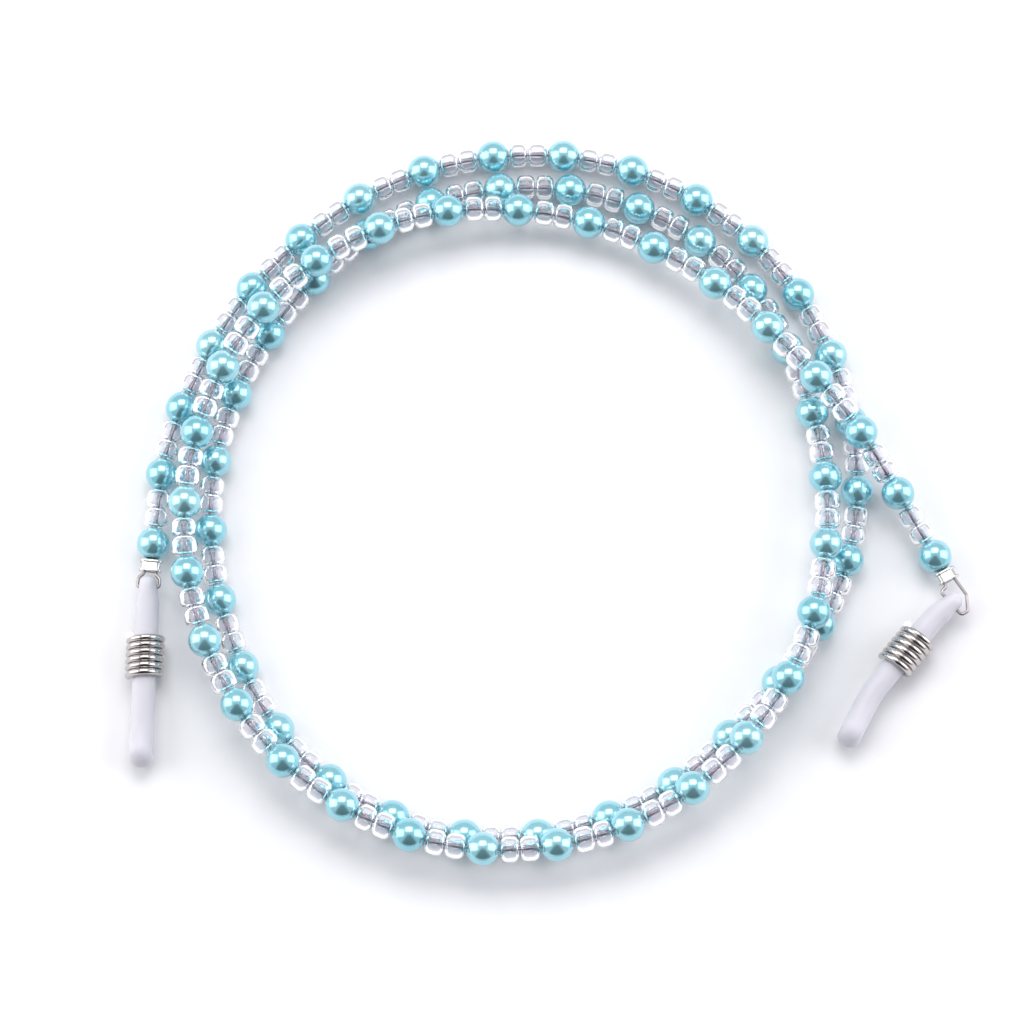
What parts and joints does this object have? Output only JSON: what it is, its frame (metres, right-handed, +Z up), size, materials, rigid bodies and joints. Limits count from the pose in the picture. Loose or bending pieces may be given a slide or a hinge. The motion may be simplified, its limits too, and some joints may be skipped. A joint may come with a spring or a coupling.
{
  "type": "beaded eyeglass retainer strap",
  "caption": "Beaded neck strand for eyeglasses: pearls and clear beads on a wire, crimped to a silicone temple loop with a sliding coil at each end.",
  "frame": {"origin": "on the table, under the middle of the whole coiled strap", "axes": "+Z up from the table; +X from the left end of the strap toward the right end; +Y away from the two temple loops"},
  "size_m": [0.0994, 0.0902, 0.009],
  "materials": {
    "pearl": "pearlescent coat",
    "seed_glass": "clear, glossy",
    "wire": "bright drawn wire",
    "crimp": "plated",
    "silicone": "milky, satin",
    "slider": "plated"
  },
  "bodies": {
    "strand": {"beading_wire": "wire", "wire_loop_left": "wire", "wire_loop_right": "wire", "crimp_left": "crimp", "crimp_right": "crimp", "pearls_01": "pearl", "seeds_01": "seed_glass", "pearls_02": "pearl", "seeds_02": "seed_glass", "pearls_03": "pearl", "seeds_03": "seed_glass", "pearls_04": "pearl", "seeds_04": "seed_glass", "pearls_05": "pearl", "seeds_05": "seed_glass", "pearls_06": "pearl", "seeds_06": "seed_glass", "pearls_07": "pearl", "seeds_07": "seed_glass", "pearls_08": "pearl", "seeds_08": "seed_glass", "pearls_09": "pearl", "seeds_09": "seed_glass", "pearls_10": "pearl", "seeds_10": "seed_glass"},
    "end_pearl_left": {"end_pearl_left": "pearl"},
    "end_pearl_right": {"end_pearl_right": "pearl"},
    "temple_loop_left": {"silicone_loop_left": "silicone"},
    "temple_loop_right": {"silicone_loop_right": "silicone"},
    "slider_left": {"slider_coil_left": "slider"},
    "slider_right": {"slider_coil_right": "slider"}
  },
  "joints": [
    {"name": "left_eye_hinge", "type": "hinge", "parent": "strand", "child": "temple_loop_left", "pos_m": [-0.04735, -0.01129, 0.0023], "axis": [-0.9998, 0.0174, 0], "range_deg": [-90, 90]},
    {"name": "right_eye_hinge", "type": "hinge", "parent": "strand", "child": "temple_loop_right", "pos_m": [0.04745, -0.01325, 0.0023], "axis": [-0.6428, 0.766, 0], "range_deg": [-90, 90]},
    {"name": "left_slider_slide", "type": "slide", "parent": "temple_loop_left", "child": "slider_left", "axis": [-0.0174, -0.9998, 0], "range_m": [-0.0045, 0.0048]},
    {"name": "right_slider_slide", "type": "slide", "parent": "temple_loop_right", "child": "slider_right", "axis": [-0.6428, -0.766, 0], "range_m": [-0.0015, 0.0028]},
    {"name": "left_end_pearl_spin", "type": "hinge", "parent": "strand", "child": "end_pearl_left", "pos_m": [-0.04684, -0.00597, 0.0023], "axis": [-0.0963, -0.9954, 0], "continuous": true},
    {"name": "right_end_pearl_spin", "type": "hinge", "parent": "strand", "child": "end_pearl_right", "pos_m": [0.04569, -0.00749, 0.0023], "axis": [-0.4788, 0.8779, 0], "continuous": true}
  ]
}
